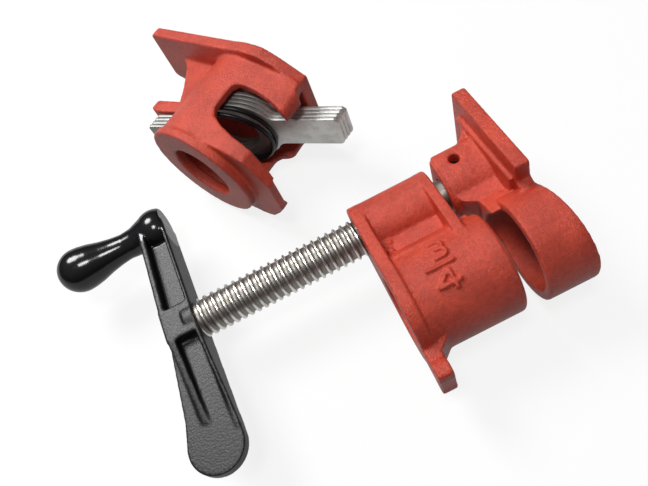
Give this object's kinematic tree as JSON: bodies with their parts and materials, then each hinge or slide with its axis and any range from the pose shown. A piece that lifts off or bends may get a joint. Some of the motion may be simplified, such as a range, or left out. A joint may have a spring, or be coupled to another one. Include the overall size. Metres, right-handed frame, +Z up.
{
  "type": "pipe clamp",
  "caption": "Pipe clamp: threaded head with screw, crank and sliding jaw, and a loose tail stop with a sprung plate clutch, lying on a bench.",
  "frame": {"origin": "centre of the pipe socket's front face, on the pipe's axis", "axes": "+X along the pipe from the crank to the jaws, +Y from the pipe to the screw, +Z up from the table the clamp lies on"},
  "size_m": [0.192, 0.214, 0.0586],
  "materials": {
    "cast_red": "sprayed orange-red paint on a cast surface",
    "zinc": "bright zinc plating",
    "black_enamel": "semi-gloss black enamel on a casting",
    "spring_black": "black oxide spring wire"
  },
  "bodies": {
    "jaw": {"moving_jaw": "cast_red", "jaw_pin": "spring_black"},
    "head": {"head_casting": "cast_red"},
    "crank": {"clamp_screw": "zinc", "crank_handle": "black_enamel", "handle_pin": "black_enamel"},
    "tail": {"tail_casting": "cast_red", "clutch_spring": "spring_black"},
    "clutch_1": {"clutch_plate_1": "zinc"},
    "clutch_2": {"clutch_plate_2": "zinc"},
    "clutch_3": {"clutch_plate_3": "zinc"},
    "clutch_4": {"clutch_plate_4": "zinc"}
  },
  "joints": [
    {"name": "crank_turn", "type": "hinge", "parent": "jaw", "child": "crank", "pos_m": [0.0047, 0.0356, 0], "axis": [1, 0, 0], "range_deg": [-340, 7480]},
    {"name": "head_slide", "type": "slide", "parent": "jaw", "child": "head", "axis": [-1, 0, 0], "range_m": [-0.00301, 0.06601]},
    {"name": "tail_slide", "type": "slide", "parent": "jaw", "child": "tail", "axis": [0.8471, 0.5314, 0], "range_m": [0, 0.08]},
    {"name": "clutch_release", "type": "hinge", "parent": "tail", "child": "clutch_1", "pos_m": [-0.09541, 0.13892, 0.0038], "axis": [0, 0, -1], "range_deg": [0, 20], "stiffness_Nm_per_rad": 0.5, "springref_deg": -11.46, "deforming": ["clutch_spring"]},
    {"name": "clutch_release_2", "type": "hinge", "parent": "tail", "child": "clutch_2", "pos_m": [-0.09715, 0.13782, 0.0038], "axis": [0, 0, -1], "range_deg": [0, 20]},
    {"name": "clutch_release_3", "type": "hinge", "parent": "tail", "child": "clutch_3", "pos_m": [-0.09889, 0.13673, 0.0038], "axis": [0, 0, -1], "range_deg": [0, 20]},
    {"name": "clutch_release_4", "type": "hinge", "parent": "tail", "child": "clutch_4", "pos_m": [-0.10064, 0.13564, 0.0038], "axis": [0, 0, -1], "range_deg": [0, 20]}
  ],
  "couplings": [
    {"joint": "head_slide", "follows": "crank_turn", "m_per_rad": 0.00050532},
    {"joint": "clutch_release_2", "follows": "clutch_release", "ratio": 1},
    {"joint": "clutch_release_3", "follows": "clutch_release", "ratio": 1},
    {"joint": "clutch_release_4", "follows": "clutch_release", "ratio": 1}
  ]
}
